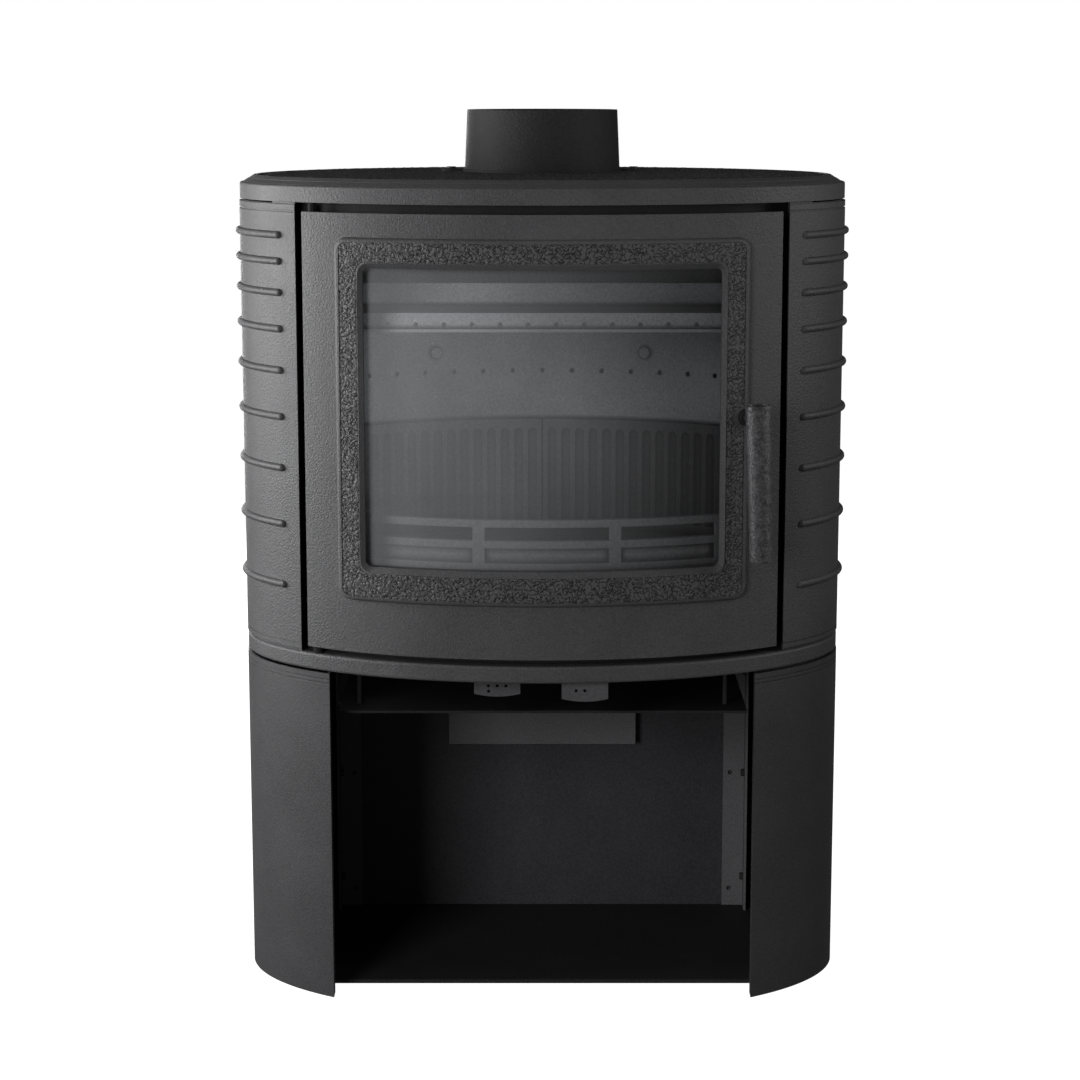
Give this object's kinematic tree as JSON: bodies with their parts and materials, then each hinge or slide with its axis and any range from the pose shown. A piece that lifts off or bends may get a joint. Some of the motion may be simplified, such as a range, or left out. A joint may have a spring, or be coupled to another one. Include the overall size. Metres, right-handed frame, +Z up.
{
  "type": "wood burning stove",
  "caption": "Free-standing oval cast iron wood stove with ribbed sides, a curved glazed door, top flue collar and an open log store beneath.",
  "frame": {"origin": "on the floor, midway across the stove, on the widest line of its oval plan", "axes": "+Z up, door faces -Y, +X to the viewer's right when facing the door"},
  "size_m": [0.6084, 0.421, 0.869],
  "materials": {
    "outer_casting": "matte anthracite stove paint on fine-grained cast iron",
    "inner_casting": "bare dark grey cast iron, slightly rough",
    "painted_sheet": "matte anthracite stove paint on sheet steel",
    "store_sheet": "matte black paint on sheet steel",
    "firebox_steel": "matte dark grey heat-proof paint on plate steel",
    "hardware": "blackened steel",
    "handle_metal": "sand-blasted dark grey metal",
    "glass": "clear heat-proof ceramic glass",
    "seal_rope": "black glass-fibre rope and tape",
    "control_steel": "dark grey painted steel"
  },
  "bodies": {
    "stove": {"air_plate_bolts": "hardware", "ash_pan": "firebox_steel", "ash_pan_rails": "firebox_steel", "back_casting": "outer_casting", "baffle_plate": "firebox_steel", "baffle_supports": "firebox_steel", "base_plate": "outer_casting", "firebox_floor": "inner_casting", "firebox_shell": "firebox_steel", "flue_collar": "outer_casting", "flue_collar_clamps": "outer_casting", "flue_collar_screws": "hardware", "front_frame": "outer_casting", "grate": "inner_casting", "heat_shield": "store_sheet", "hinge_pin_lower": "hardware", "hinge_pin_upper": "hardware", "latch_keeper": "hardware", "left_side_casting": "outer_casting", "liner_rear_left": "inner_casting", "liner_rear_right": "inner_casting", "liner_side_left": "inner_casting", "liner_side_right": "inner_casting", "log_guard": "inner_casting", "log_store_back_panel": "store_sheet", "log_store_bolts": "hardware", "log_store_floor": "store_sheet", "log_store_left_bracket": "store_sheet", "log_store_left_panel": "painted_sheet", "log_store_right_bracket": "store_sheet", "log_store_right_panel": "painted_sheet", "primary_slider_guide": "control_steel", "rear_air_plate": "firebox_steel", "rear_cover_box": "store_sheet", "right_side_casting": "outer_casting", "secondary_slider_guide": "control_steel", "shield_hanger_rods": "hardware", "tie_rod_nuts": "hardware", "tie_rods": "hardware", "top_plate": "outer_casting"},
    "door": {"door": "outer_casting", "door_glass": "glass", "glass_gasket": "seal_rope", "glass_clips": "hardware", "glass_clip_screws": "hardware", "door_rope_seal": "seal_rope", "spindle_bush": "hardware"},
    "handle": {"door_handle": "handle_metal", "handle_spindle": "hardware", "latch_cam": "hardware"},
    "primary_air_control": {"primary_air_slider": "control_steel"},
    "secondary_air_control": {"secondary_air_slider": "control_steel"}
  },
  "joints": [
    {"name": "door_hinge", "type": "hinge", "parent": "stove", "child": "door", "pos_m": [-0.21864, -0.11879, 0.565], "axis": [0, 0, -1], "range_deg": [0, 105]},
    {"name": "handle_turn", "type": "hinge", "parent": "door", "child": "handle", "pos_m": [0.191, -0.14189, 0.583], "axis": [0.4518, -0.8921, 0], "range_deg": [0, 80]},
    {"name": "primary_air_slide", "type": "slide", "parent": "stove", "child": "primary_air_control", "axis": [0, -1, 0], "range_m": [-0.01, 0.032]},
    {"name": "secondary_air_slide", "type": "slide", "parent": "stove", "child": "secondary_air_control", "axis": [0, -1, 0], "range_m": [-0.031, 0.011]}
  ]
}
